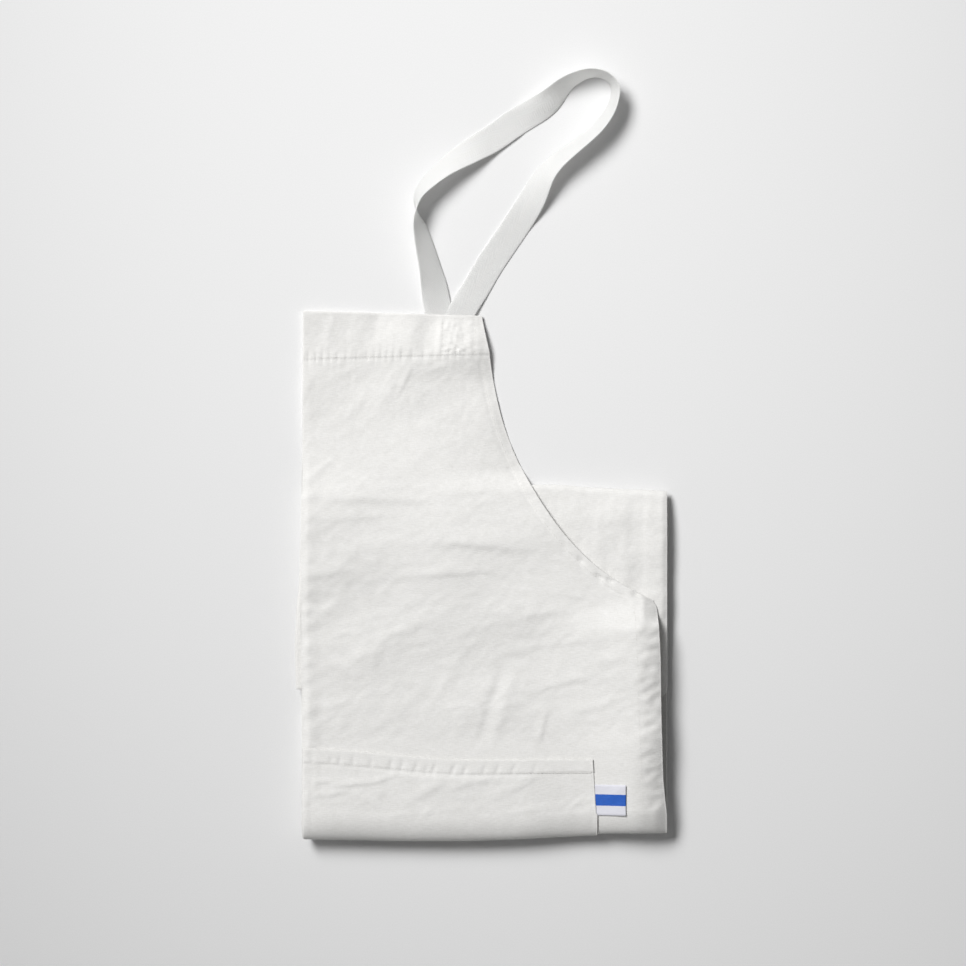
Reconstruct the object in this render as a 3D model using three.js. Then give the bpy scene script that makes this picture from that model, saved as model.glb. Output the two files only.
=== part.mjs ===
// A white linen bib apron, folded for the shelf and lying face up on a table.
// Millimetres, +Z up. While it is built, x runs from the centre fold to the side hems and
// y from the bottom fold to the neck tape. The whole is centred over the origin at the end.
//
// The apron is folded in half along its centre line, so every part of it is a pair of layers
// joined by the centre fold. The pair runs down the front, round the bottom fold, up the back,
// round the back fold and down again between front and back to the skirt's hem.

import * as THREE from "three";

const { lerp, smoothstep, degToRad } = THREE.MathUtils;

// Cloth
const WALL = 1.2; // one layer of linen
const HEM_WALL = 1.5; // a turned hem
const LAYER_AIR = 1.0; // between the two layers of a pair
const PAIR_AIR = 0.8; // between one pair and the next
const GAP = 0.3; // between neighbouring pieces
const HALF = WALL + LAYER_AIR / 2; // from the middle of a pair to its outside
const PAIR = 2 * HALF;

// Outline of the folded apron
const BIB_TOP = 469;
const BIB_HALF_WIDTH = 161;
const BIB_HEM_END = 427; // the bib's top hem ends here
const BIB_HEM_HALF_WIDTH = 165.5;
const SKIRT_HALF_WIDTH = 325;
const UNDERARM = 209; // height of the corner between armhole and side
const BACK_FOLD = 311; // highest point of the second fold
const SKIRT_HEM_END = 126; // the skirt's hem, tucked between front and back
const SKIRT_HEM = 20;
const SIDE_HEM = 20;
const ARMHOLE_HEM = 9;
const HEM_STEP = 1.5; // over which a hem's extra thickness ends
const TOP_EDGE_FALL = -8.9; // how far the top edge would fall over the skirt's half width
const HEM_LINE_RISE = 8.9; // and how far the hem's line would rise
const BOTTOM_FOLD_RISE = 4;
const BOTTOM_FOLD_SKEW = [10, 90]; // over these heights the rows come square again
const HEM_CORNER = 14; // radius of the skirt's free corner

const ARMHOLE = new THREE.CubicBezierCurve(
  new THREE.Vector2(BIB_HEM_HALF_WIDTH, BIB_HEM_END + 2),
  new THREE.Vector2(171, 354),
  new THREE.Vector2(226, 242),
  new THREE.Vector2(315, UNDERARM),
);
const ARMHOLE_STEPS = 60;

// The side edge of the front. Columns: y, x
const SIDE_EDGE = [
  [UNDERARM, 314.5],
  [158, 317.3],
  [100, 319],
  [52, 321],
  [6, SKIRT_HALF_WIDTH],
];

// The centre fold of the front. Columns: y, x
const FRONT_FOLD = [
  [BIB_TOP, 2.7],
  [BIB_HEM_END, -0.5],
  [320, -0.9],
  [200, -1.8],
  [70, 0],
  [0, 0],
];

// The centre fold of the part that is tucked in, which slips out a little. Columns: y, x
const TUCKED_FOLD = [
  [BACK_FOLD, -0.5],
  [230, -3],
  [205, -5.5],
  [170, -7],
  [SKIRT_HEM_END, -6],
];

// Pocket
const POCKET_WALL = 1.2;
const POCKET_ROOM = POCKET_WALL + GAP;
const POCKET_TOP = 70.5;
const POCKET_TOP_RISE = 9.5; // its top edge rises towards the centre fold
const POCKET_TOP_RUN = 150;
const POCKET_END = 110; // on the back
const POCKET_EDGE_TOP = 257.5; // side edge at the pocket's mouth
const POCKET_EDGE_LOW = 261.5; // and at the bottom fold

// Heights of the pairs
const BACK_ON_POCKET = POCKET_ROOM; // the back lies on the pocket's lower part
const OFF_POCKET = [POCKET_END + 2, POCKET_END + 18]; // where the back comes down to the table
const TUCKED_BASE = PAIR + PAIR_AIR;
const FRONT_BASE = 2 * TUCKED_BASE;
const FRONT_ON_POCKET = BACK_ON_POCKET + PAIR + 2 * POCKET_ROOM + PAIR_AIR;
const RAMP = [305, 365]; // the bib comes down from the stack to the table
const SIDE_SAG = 2.5; // the front sags where nothing is tucked under it
const SAG_ACROSS = [280, 322];
const SAG_LOW = [8, 40];
const SAG_HIGH = [95, 122];

const WRINKLES_END = [82, 100]; // the wrinkles die out above the pocket

// The front's main wrinkles, as soft ridges. Columns: x, y, turn from +X in degrees, long, wide, high
const WRINKLES = [
  [167, 117, 71, 100, 20, 1.2],
  [55, 162, 32, 96, 26, 1.2],
  [157, 260, -3, 120, 22, 1.4],
  [130, 231, 4, 96, 18, 1.0],
  [24, 236, 15, 60, 22, 1.0],
  [60, 303, 2, 130, 22, 0.9],
  [212, 100, 72, 60, 18, 0.8],
];

// Neck tape
const TAPE_WIDE = 25;
const TAPE_THICK = 1.1;
const TAPE_ROOM = 1.6; // how much further the bib's layers part to take both ends
const TAPE_ROOM_ACROSS = [60, 100];
const TAPE_ROOM_ALONG = [370, 425];
const REAR_LIFT = 1.85;
const FRONT_LIFT = 3.65;
const STEPS_PER_POINT = 3;

// The tape's route from its rear end to its front end. It lies flat on its back near the bib, stands
// on edge where the loop turns, and is over again on the way back. Columns: x, y,
// roll in degrees of the edge on the left of the way, lift of the lower edge from the table
const TAPE_ROUTE = [
  [131, 432, -180, REAR_LIFT],
  [125.5, 450, -180, REAR_LIFT],
  [120, 471, -178, REAR_LIFT],
  [117, 489, -160, 0.8],
  [114.5, 506, -136, 0],
  [106, 542, -116, 0],
  [103, 558, -90, 0],
  [106.5, 574.5, -70, 0],
  [127.5, 595.5, -52, 0],
  [152, 612, -28, 0],
  [168, 622.5, -8, 0],
  [192, 639, 0, 0],
  [217, 654, 32, 0],
  [236, 670, 66, 0],
  [255, 677, 86, 0],
  [270, 674, 88, 0],
  [277, 667, 86, 0],
  [278, 659.5, 82, 0],
  [274, 645, 76, 0],
  [262, 629, 70, 0],
  [240, 613, 66, 0],
  [225, 601, 58, 0],
  [214, 588, 40, 0],
  [203.5, 567.5, 15, 0],
  [190.5, 546.5, 0, 0],
  [167.5, 512.5, 0, 0.4],
  [154.5, 490.5, 0, 2.4],
  [141.5, 469, 0, FRONT_LIFT],
  [135.5, 448, 0, FRONT_LIFT],
  [131, 432, 0, FRONT_LIFT],
];

// Label tab
const TAB_RIGHT = 287;
const TAB_LOW = 20;
const TAB_HIGH = 47;
const TAB_THICK = 1.0;
const TAB_LIFT = 1.2; // its free edge stands up a little
const TAB_STEPS = 4;

// Grid of the panel
const UPPER_COLUMNS = 18;
const LOWER_COLUMNS = 9;
const FOLD_STEPS = 4; // round the centre fold
const BEND_STEPS = 6; // round the bottom and back folds

// Rows of the front. Columns: y where a stretch starts, rows in the stretch
const FRONT_STRETCHES = [
  [BIB_TOP, 3],
  [BIB_HEM_END, 1],
  [BIB_HEM_END - HEM_STEP, 5],
  [365, 10],
  [240, 5],
  [UNDERARM, 13],
  [20, 2],
];
const BACK_ROWS = [30, 70, POCKET_END + 2, POCKET_END + 10, POCKET_END + 18, 220];
const TUCKED_ROWS = [250, 210, 170, SKIRT_HEM_END + SKIRT_HEM + HEM_STEP, SKIRT_HEM_END + SKIRT_HEM];
const TUCKED_END_ROWS = [HEM_CORNER, HEM_CORNER / 2, HEM_CORNER / 5, 0];

const POCKET_COLUMNS = 10;
const POCKET_LOWER_COLUMNS = 6;
const POCKET_FRONT_ROWS = 6;
const POCKET_BACK_ROWS = [40, 75, POCKET_END];

// Linear reading of a table of two columns, whose first column falls.
function read(table, at) {
  const next = table.findIndex(([key]) => key <= at);
  if (next === 0) return table[0][1];
  if (next < 0) return table.at(-1)[1];
  const [a, b] = [table[next - 1], table[next]];
  return lerp(a[1], b[1], (at - a[0]) / (b[0] - a[0]));
}

const armholeEdge = ARMHOLE.getPoints(ARMHOLE_STEPS).map((p) => [p.y, p.x]);

function frontRight(y) {
  if (y >= BIB_HEM_END) {
    return lerp(BIB_HEM_HALF_WIDTH, BIB_HALF_WIDTH, (y - BIB_HEM_END) / (BIB_TOP - BIB_HEM_END));
  }
  return y > UNDERARM ? read(armholeEdge, y) : read(SIDE_EDGE, y);
}

// How far from the edge, along a row, the hem of the front reaches.
function frontHem(y) {
  if (y <= UNDERARM) return SIDE_HEM;
  const widening = frontRight(y + 0.5) - frontRight(y - 0.5); // over one millimetre
  return Math.min(ARMHOLE_HEM * Math.hypot(1, widening), SIDE_HEM);
}

// Rise of the front's rows over the skirt's half width: the top edge, the hem's line and the
// bottom fold aren't square.
function frontSkew(y) {
  if (y >= BIB_HEM_END) {
    return lerp(HEM_LINE_RISE, TOP_EDGE_FALL, (y - BIB_HEM_END) / (BIB_TOP - BIB_HEM_END));
  }
  if (y > RAMP[1]) return HEM_LINE_RISE * smoothstep(y, RAMP[1], BIB_HEM_END);
  return BOTTOM_FOLD_RISE * (1 - smoothstep(y, ...BOTTOM_FOLD_SKEW));
}

function backBase(y) {
  return BACK_ON_POCKET * (1 - smoothstep(y, ...OFF_POCKET));
}

// Height of the front's underside over the table.
function frontBase(x, y) {
  const stack = lerp(FRONT_ON_POCKET, FRONT_BASE, smoothstep(y, ...OFF_POCKET));
  const sagging = smoothstep(y, ...SAG_LOW) * (1 - smoothstep(y, ...SAG_HIGH));
  const sag = SIDE_SAG * smoothstep(x, ...SAG_ACROSS) * sagging;
  return (stack - sag) * (1 - smoothstep(y, ...RAMP));
}

// Half the thickness of the front's pair, which parts for the ends of the neck tape.
function frontHalf(x, y) {
  return HALF + TAPE_ROOM * smoothstep(x, ...TAPE_ROOM_ACROSS) * smoothstep(y, ...TAPE_ROOM_ALONG);
}

// How far the front's upper layer stands up in its wrinkles.
function wrinkle(x, y) {
  let high = 0;
  for (const [cx, cy, turn, long, wide, top] of WRINKLES) {
    const [c, s] = [Math.cos(degToRad(turn)), Math.sin(degToRad(turn))];
    const along = ((x - cx) * c + (y - cy) * s) / (long / 2);
    const aside = ((y - cy) * c - (x - cx) * s) / (wide / 2);
    if (Math.abs(along) < 1) high += top * (1 - along * along) ** 2 * Math.exp(-2 * aside * aside);
  }
  return high * smoothstep(y, ...WRINKLES_END);
}

function frontFace(x, y) {
  return frontBase(x, y) + 2 * frontHalf(x, y) + wrinkle(x, y);
}

// A row of a pair: middle(x) gives the middle's y and z, the direction in which the upper layer lies,
// half the pair's thickness and the upper layer's wrinkle.
function frontRow(y) {
  const middle = (x) => {
    const at = y + (frontSkew(y) * x) / SKIRT_HALF_WIDTH;
    const half = frontHalf(x, at);
    return { y: at, z: frontBase(x, at) + half, ny: 0, nz: 1, half, proud: wrinkle(x, at) };
  };
  const wall = y >= BIB_HEM_END ? HEM_WALL : WALL;
  return { middle, left: read(FRONT_FOLD, y), right: frontRight(y), hem: frontHem(y), wall };
}

const BOTTOM_RADIUS = (FRONT_ON_POCKET - BACK_ON_POCKET) / 2;
const BOTTOM_CENTRE = {
  y: BOTTOM_RADIUS + HALF + POCKET_ROOM,
  z: (FRONT_ON_POCKET + BACK_ON_POCKET) / 2 + HALF,
};
const BACK_RADIUS = TUCKED_BASE / 2;
const BACK_CENTRE = { y: BACK_FOLD - BACK_RADIUS - HALF, z: BACK_RADIUS + HALF };

// A row round a fold, at an angle from where the bend starts.
function bendRow(centre, radius, angle, towards, rise) {
  const [s, c] = [Math.sin(angle) * towards, -Math.cos(angle) * towards];
  const middle = (x) => ({
    y: centre.y + radius * s + (rise * x) / SKIRT_HALF_WIDTH,
    z: centre.z + radius * c,
    ny: s,
    nz: c,
    half: HALF,
    proud: 0,
  });
  return { middle, left: 0, right: SKIRT_HALF_WIDTH, hem: SIDE_HEM, wall: WALL };
}

function backRow(y) {
  const rise = BOTTOM_FOLD_RISE * (1 - smoothstep(y, ...BOTTOM_FOLD_SKEW));
  const middle = (x) => {
    const at = y + (rise * x) / SKIRT_HALF_WIDTH;
    return { y: at, z: backBase(at) + HALF, ny: 0, nz: -1, half: HALF, proud: 0 };
  };
  return { middle, left: 0, right: SKIRT_HALF_WIDTH, hem: SIDE_HEM, wall: WALL };
}

function tuckedRow(y) {
  const middle = () => ({ y, z: TUCKED_BASE + HALF, ny: 0, nz: 1, half: HALF, proud: 0 });
  const into = Math.max(0, HEM_CORNER - (y - SKIRT_HEM_END));
  const corner = HEM_CORNER - Math.sqrt(HEM_CORNER ** 2 - into ** 2);
  const wall = y <= SKIRT_HEM_END + SKIRT_HEM ? HEM_WALL : WALL;
  return { middle, left: read(TUCKED_FOLD, y), right: SKIRT_HALF_WIDTH - corner, hem: SIDE_HEM, wall };
}

function bends(centre, radius, towards, rise) {
  const angles = Array.from({ length: BEND_STEPS + 1 }, (_, k) => (Math.PI * k) / BEND_STEPS);
  return angles.map((angle) => bendRow(centre, radius, angle, towards, rise));
}

const bottomBend = bends(BOTTOM_CENTRE, BOTTOM_RADIUS, -1, BOTTOM_FOLD_RISE);

function panelRows() {
  const front = FRONT_STRETCHES.flatMap(([y, rows], k) => {
    const end = k + 1 < FRONT_STRETCHES.length ? FRONT_STRETCHES[k + 1][0] : BOTTOM_CENTRE.y;
    return Array.from({ length: rows }, (_, i) => frontRow(lerp(y, end, i / rows)));
  });
  const ends = TUCKED_END_ROWS.map((up) => SKIRT_HEM_END + up);
  return [
    ...front,
    ...bottomBend,
    ...BACK_ROWS.map(backRow),
    ...bends(BACK_CENTRE, BACK_RADIUS, 1, 0),
    ...[...TUCKED_ROWS, ...ends].map(tuckedRow),
  ];
}

// A closed solid between two grids of points, the face and the back, joined by a rim.
function slab(rows, columns, point) {
  const corner = (i, j, side) => (side * rows + i) * columns + j;
  const positions = [];
  for (const side of [0, 1]) {
    for (let i = 0; i < rows; i++) {
      for (let j = 0; j < columns; j++) positions.push(...point(i, j, side));
    }
  }
  const index = [];
  const quad = (a, b, c, d) => index.push(a, b, c, a, c, d);
  for (let i = 0; i + 1 < rows; i++) {
    for (let j = 0; j + 1 < columns; j++) {
      quad(corner(i, j, 0), corner(i, j + 1, 0), corner(i + 1, j + 1, 0), corner(i + 1, j, 0));
      quad(corner(i, j, 1), corner(i + 1, j, 1), corner(i + 1, j + 1, 1), corner(i, j + 1, 1));
    }
    const [first, last] = [0, columns - 1];
    quad(corner(i, first, 0), corner(i + 1, first, 0), corner(i + 1, first, 1), corner(i, first, 1));
    quad(corner(i, last, 0), corner(i, last, 1), corner(i + 1, last, 1), corner(i + 1, last, 0));
  }
  for (let j = 0; j + 1 < columns; j++) {
    const end = rows - 1;
    quad(corner(0, j, 0), corner(0, j, 1), corner(0, j + 1, 1), corner(0, j + 1, 0));
    quad(corner(end, j, 0), corner(end, j + 1, 0), corner(end, j + 1, 1), corner(end, j, 1));
  }
  const geometry = new THREE.BufferGeometry();
  geometry.setAttribute("position", new THREE.Float32BufferAttribute(positions, 3));
  geometry.setIndex(index);
  geometry.computeVertexNormals();
  return geometry;
}

// Where column j of a hemmed row lies: the edge, the hem's line, and then evenly to the centre fold.
function hemmedX(row, j, columns) {
  if (j === 0) return row.right;
  if (j === 1) return row.right - row.hem;
  return lerp(row.right - row.hem - HEM_STEP, row.left + HALF, (j - 2) / (columns - 2));
}

// A point of a pair, off from its middle. turn is a quarter turn on the upper layer, passes through
// nothing at the centre fold and is a quarter turn back on the lower layer.
function pairPoint(row, x, turn, off) {
  const { y, z, ny, nz, half, proud } = row.middle(x);
  const upper = Math.max(0, Math.sin(turn));
  const reach = (half + off) * Math.sin(turn) + proud * upper;
  return [x - (half + off) * Math.cos(turn), y + reach * ny, z + reach * nz];
}

// Splits a column number over the upper layer, the centre fold and the lower layer.
function columnPlace(j, upper, lower) {
  const quarter = Math.PI / 2;
  if (j <= upper) return { k: j, columns: upper, turn: quarter };
  if (j < upper + FOLD_STEPS) return { turn: quarter - ((j - upper) / FOLD_STEPS) * Math.PI };
  return { k: upper + FOLD_STEPS + lower - j, columns: lower, turn: -quarter };
}

function panelGeometry() {
  const rows = panelRows();
  const columns = UPPER_COLUMNS + FOLD_STEPS + LOWER_COLUMNS + 1;
  return slab(rows.length, columns, (i, j, side) => {
    const row = rows[i];
    const place = columnPlace(j, UPPER_COLUMNS, LOWER_COLUMNS);
    const inFold = place.k === undefined;
    const x = inFold ? row.left + HALF : hemmedX(row, place.k, place.columns);
    const wall = !inFold && place.k <= 1 ? HEM_WALL : row.wall;
    return pairPoint(row, x, place.turn, -wall * side);
  });
}

function pocketRight(y) {
  return lerp(POCKET_EDGE_LOW, POCKET_EDGE_TOP, THREE.MathUtils.clamp(y / POCKET_TOP, 0, 1));
}

// A row of the pocket on the front, at a share of the way from its mouth to the bottom fold.
function pocketFrontRow(share) {
  const mouth = (x) => POCKET_TOP + POCKET_TOP_RISE * (1 - smoothstep(x, 0, POCKET_TOP_RUN));
  const height = (x) => lerp(mouth(x), BOTTOM_CENTRE.y, share);
  const middle = (x) => frontRow(height(x)).middle(x);
  const edge = height(POCKET_EDGE_TOP);
  return { middle, left: read(FRONT_FOLD, height(0)), right: pocketRight(edge) };
}

function pocketGeometry() {
  const front = Array.from({ length: POCKET_FRONT_ROWS }, (_, i) => pocketFrontRow(i / POCKET_FRONT_ROWS));
  const turned = [...bottomBend, ...POCKET_BACK_ROWS.map(backRow)];
  const rows = [...front, ...turned.map((row) => ({ ...row, right: POCKET_EDGE_LOW }))];
  const columns = POCKET_COLUMNS + FOLD_STEPS + POCKET_LOWER_COLUMNS + 1;
  return slab(rows.length, columns, (i, j, side) => {
    const row = rows[i];
    const place = columnPlace(j, POCKET_COLUMNS, POCKET_LOWER_COLUMNS);
    const share = place.k === undefined ? 1 : place.k / place.columns;
    const x = lerp(row.right, row.left + HALF, share);
    return pairPoint(row, x, place.turn, GAP + POCKET_WALL * (1 - side));
  });
}

function tapeGeometry() {
  const route = new THREE.CatmullRomCurve3(TAPE_ROUTE.map(([x, y]) => new THREE.Vector3(x, y, 0)));
  const poises = TAPE_ROUTE.map(([, , roll, lift]) => new THREE.Vector3(roll, lift, 0));
  const poise = new THREE.CatmullRomCurve3(poises, false, "catmullrom", 0.5);
  const rows = (TAPE_ROUTE.length - 1) * STEPS_PER_POINT + 1;
  const across = [1, 0, -1];
  return slab(rows, across.length, (i, j, side) => {
    const t = i / (rows - 1);
    const way = route.getTangent(t);
    const left = new THREE.Vector3(-way.y, way.x, 0);
    const { x: degrees, y: lift } = poise.getPoint(t);
    const roll = degToRad(degrees);
    const [c, s] = [Math.cos(roll), Math.sin(roll)];
    const wide = left.clone().multiplyScalar(c).setZ(s);
    const out = left.multiplyScalar(-s).setZ(c);
    const centre = route.getPoint(t);
    centre.z = (TAPE_WIDE * Math.abs(s) + TAPE_THICK * Math.abs(c)) / 2 + Math.max(0, lift);
    centre.addScaledVector(wide, (across[j] * TAPE_WIDE) / 2);
    return centre.addScaledVector(out, TAPE_THICK * (0.5 - side));
  });
}

function tabGeometry() {
  return slab(TAB_STEPS + 1, TAB_STEPS + 1, (i, j, side) => {
    const y = lerp(TAB_HIGH, TAB_LOW, i / TAB_STEPS);
    const x = lerp(TAB_RIGHT, pocketRight(y) + GAP, j / TAB_STEPS);
    const lift = TAB_LIFT * (1 - j / TAB_STEPS) ** 2;
    return [x, y, frontFace(x, y) + GAP + lift + TAB_THICK * (1 - side)];
  });
}

function cloth(colour, roughness) {
  return new THREE.MeshStandardMaterial({ color: colour, roughness, metalness: 0 });
}

function piece(name, geometry, material) {
  const mesh = new THREE.Mesh(geometry, material);
  mesh.name = name;
  return mesh;
}

const folded = new THREE.Group();
folded.add(
  piece("apron_panel", panelGeometry(), cloth(0xe9e8e4, 0.9)),
  piece("pocket", pocketGeometry(), cloth(0xe7e6e2, 0.9)),
  piece("neck_strap", tapeGeometry(), cloth(0xe6e6e4, 0.85)),
  piece("label_tab", tabGeometry(), cloth(0xe6e8f0, 0.7)),
);

// The origin is on the table, under the middle of the whole.
const box = new THREE.Box3().setFromObject(folded);
const middle = box.getCenter(new THREE.Vector3());
folded.position.set(-middle.x, -middle.y, -box.min.z);

const apron = new THREE.Group();
apron.add(folded);

export default apron;
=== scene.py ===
"""A white linen bib apron, folded into a flat stack and lying face up, its neck tape looped above it."""

import bpy
import numpy as np
from mathutils import Matrix, Vector


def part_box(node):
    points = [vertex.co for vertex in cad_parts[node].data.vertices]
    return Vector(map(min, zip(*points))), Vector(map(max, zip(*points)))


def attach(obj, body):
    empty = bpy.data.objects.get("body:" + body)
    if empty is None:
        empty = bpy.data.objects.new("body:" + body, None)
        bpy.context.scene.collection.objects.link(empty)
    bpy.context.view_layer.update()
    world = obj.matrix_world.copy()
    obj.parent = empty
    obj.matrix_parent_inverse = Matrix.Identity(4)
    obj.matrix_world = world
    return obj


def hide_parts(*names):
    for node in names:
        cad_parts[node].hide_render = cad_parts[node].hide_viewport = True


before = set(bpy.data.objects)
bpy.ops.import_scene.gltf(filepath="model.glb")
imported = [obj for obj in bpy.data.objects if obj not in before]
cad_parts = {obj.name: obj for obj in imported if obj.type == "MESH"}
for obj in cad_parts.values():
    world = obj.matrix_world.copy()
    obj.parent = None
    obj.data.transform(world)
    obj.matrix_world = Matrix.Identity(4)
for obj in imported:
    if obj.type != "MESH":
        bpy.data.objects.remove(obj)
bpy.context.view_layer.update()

MM = 0.001
WAVE_RATE = 2.6  # the spread of a wave's turns, in radians over its size
ENDLESS = 1e6  # the size of a wave along its crests, where it varies along one line only

# Sizes are in millimetres. x runs from the centre fold to the side hems and y from the bottom fold
# to the neck tape, as in the solids. In a pair of places, a form starts at the first and is full at
# the second, and X or Y at the end of its name says in which. A step is a row of its height and such
# a pair, and a bell a row of its height, middle and width.
SKIRT_HALF = 325
PLACE = np.array([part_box("apron_panel")[1].x - SKIRT_HALF * MM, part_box("pocket")[0].y, 0.0])

# Cloth
WALL = 1.2
HALF = 1.7  # from the middle of a doubled layer to its outside
PAIR = 2 * HALF
HALF_TURN = np.radians([-90, -45, 0, 45, 90])  # steps round the edge of a hem
EDGE_DEPTH = WALL / 2 * (np.sin(HALF_TURN) - 1)

# Outline of the folded apron
BIB_TOP = 469
BIB_HALF = 161
BIB_HEM_END = 425.6
BIB_HEM_HALF = 167.3
UNDERARM = 212
UNDERARM_ROUND = (3.0, UNDERARM, 4)
BACK_FOLD = 311
SKIRT_HEM_END = 126
SIDE_HEM = 22
ARMHOLE_HEM = 9
HEM_CORNER = 14
STEEPEST_EDGE = 4  # the free edge's slope, at most
FRONT_INSET = 0.6  # the cloth ends this far inside the outline
BACK_INSET = 1.2
FRAY = (0.35, 40, 45, 10)  # the free edge's waver. Columns: size, long, seed, count
TOP_EDGE_FALL = -8.9
HEM_LINE_RISE = 8.9
HEM_SKEW_START = 365
BOTTOM_FOLD_RISE = (5.5, 130, 300)
BOTTOM_FOLD_SAG = (1.5, 0, 110)
BOTTOM_FOLD_SKEW = (10, 90)  # the front's rows follow the bottom fold's edge less and less
ARMHOLE = np.array([[166.8, 429], [171, 354], [226, 242], [315, 212]])

# Edges and folds of the front, from the bottom up. Columns: y, x
SIDE_EDGE = np.array([[6, 325], [52, 321], [100, 319], [158, 317.3], [212, 314.5]])
FRONT_FOLD = np.array([[0, 0], [70, 0], [200, -1.8], [320, -0.9], [425, -0.5], [469, -0.3]])
TUCKED_FOLD = np.array([[126, -6], [170, -7], [205, -5.5], [230, -3], [311, -0.5]])

# Pocket
POCKET_ROOM = 1.5
POCKET_TOP = 70.5
POCKET_TOP_RISE = 9.5
POCKET_TOP_RUN = 150
POCKET_END = 110
POCKET_EDGE_TOP = 257.5
POCKET_EDGE_LOW = 261.5
POCKET_HEM = 12.5

# Heights of the doubled layers
OFF_POCKET = (POCKET_END + 2, POCKET_END + 18)
TUCKED_BASE = 7.5
TUCKED_RADIUS = TUCKED_BASE / 2
FRONT_BASE = 14.6
FRONT_ON_POCKET = 15.0
RAMP = (280, 378)
TAPE_ROOM = (0.9, 370, 425)  # the bib's layers part for the ends of the tape
TAPE_ROOM_X = ((60, 100), (134, 166))
EDGE_THIN = (1.1, 0, 9)  # the bib's free edge is pressed thin
EDGE_THIN_Y = (318, 340)

# Stitches
STITCH_LONG = 2.6
STITCH_STEP = 3.3
STITCH_THICK = 0.34
STITCH_SINK = 0.55  # of its thickness, at both ends
STITCH_BOW = 0.35  # of that sink, up in the middle
STITCH_TAPER = np.array([0.15, 0.8, 1, 1, 0.8, 0.15])
STITCH_SIDES = 6
HEM_SEAM_IN = 1.6  # seams from the inner edge of their hem
EDGE_SEAM_IN = 1.2
POCKET_SEAM_IN = 1.4
POCKET_SIDE_IN = 2.4  # from the pocket's side
TAPE_BOX = np.array([[124, 433], [124, 463], [153, 461.5], [153, 433.5], [124, 433]], float)

# The folds' roundness
FOLD_REACH = 2.6  # across the centre fold
BIB_FOLD_REACH = 1.0  # and on the bib, where it is pressed flat
FOLD_FLAT_Y = (290, 370)
FOLD_ROLL = (1.1, 0, 7)  # the face falls this much towards the fold
FOLD_RIDGE = (0.9, 0.45, 14, 17)  # beside the fold. Columns: high, how much that varies, long, seed
FOLD_RIDGE_MOST = 2
FOLD_RIDGE_X = ((0, 6), (6, 19))
FOLD_RIDGE_END = (404, 424)
FLAT_RIDGE_LOSS = 0.7
BEND_START = 22.0  # the front starts to turn down here
BEND_TIP = POCKET_ROOM + HALF  # the middle of the doubled layer, at the bottom fold
HEM_TURN = 0.2  # the pressed hem's roundness, seen from above
HEM_RETURN = np.array([18, 8])  # rows of the return inside a hem, from its edge
TUCK_TILT = (6.6, -4)  # the tucked hem's rise at the centre fold and at the side
TUCK_TILT_END = (SKIRT_HEM_END, 200)
TOP_TILT = (3.2, -2.2)  # and the back's top fold's
TOP_TILT_START = 225
TOP_TILT_RUN = 100
TOP_TILT_Y = (230, 300)
TOP_WAVER = (0.3, 30, 44)  # Columns: size, long, seed

# How the stack lifts off the table
EDGE_LIFT = (6.0, 205, 330)  # the right side, with its stacked hems, springs up
EDGE_LIFT_END = (300, 350)
FRONT_SHARE = (3.35, 0.9)  # the front's share of that lift, low down and at the armhole
FRONT_SHARE_Y = (184, 214)
UNDER_FRONT = 1.15  # the share of the layers under the front, up to the underarm
UNDER_FRONT_END = (UNDERARM - 17, UNDERARM - 3)
STRIP_PRESS = (0.12, 312, 325)  # the back's edge is pressed together there
TOP_PRESS = (0.25, 282, 312)  # and so is its top fold
BOTTOM_LIFT = (6.5, 4, 100)  # the bottom fold stands up, away from the label
BOTTOM_LIFT_END = (190, 275)
BOTTOM_PUFF = (5.0, 30, 180)  # the front bulges over the bottom fold
BOTTOM_PUFF_END = (200, 262)
HEM_END_LIFT = (6.5, 404, 438)  # the end of the bib's hem stands off the table
HEM_END_POWER = 1.7
HEM_END_LIMIT = 180
HEM_TOP_LOSS = (0.65, 440, 468)  # less so at its top edge

# How the front hangs down at its free edge
TABLE_DROP = (1, 0, 38)  # beside the ramp it reaches the table
TABLE_DROP_Y = ((308, 328), (412, 426))
LAP_DROP = (1.7, 0, 12)  # at the armhole it lies on the back
LAP_DROP_Y = ((205, 225), (300, 322))
SIDE_DROP = (13.0, 7.5)  # the side hem hangs, low down and higher up
SIDE_DROP_WIDE = (32, 24)
SIDE_DROP_CHANGE = (35, 110)
SIDE_DROP_POWER = 1.8
SIDE_DROP_END = (UNDERARM - 30, UNDERARM - 3)
CORNER_DROP = (8.0, 190, 200)  # and so does the underarm's corner
CORNER_START = 302
CORNER_RUN = 12.5

# Waves in the cloth. Columns: high, wide, tall, seed
BROAD_WAVES = (0.9, 70, 46, 11)
BENT_WAVES = (4, 38, 32, 19)  # these shift the lumps, so that they don't run straight
SOFT_WAVES = (0.035, 8, 5.5, 13)
PATCHES = (0.7, 26, 20, 16)
SKIRT_LUMPS = (1.0, 11, 8, 12)
BIB_LUMPS = (0.7, 11, 8, 18)
LUMP_HIGH = 0.115
LUMP_WAY = (0.89, 0.45)
BIB_LUMPS_Y = (300, 400)
RIPPLES = (1.0, 8, 3.4, 14)
RIPPLE_HIGH = 0.032
RIPPLE_MEAN = 0.8
RIPPLE_SLANT = 0.15
CREASE_HIGH = 1.3
WRINKLES_START = (78, 96)

# Gathers along the seams. Columns: step, seed, and how sharp
TOP_TICKS = (7.5, 21, 2.0)
ARM_TICKS = (15, 31, 3.0)
SIDE_TICKS = (12.5, 32, 2.0)
BACK_TICKS = (16, 43, 2.0)
POCKET_UNEVEN = (13, 52, 2.0)
TICK_WANDER = 2.2
TICK_WANDER_LONG = 5  # in steps
TICK_WAVES = 12

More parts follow.
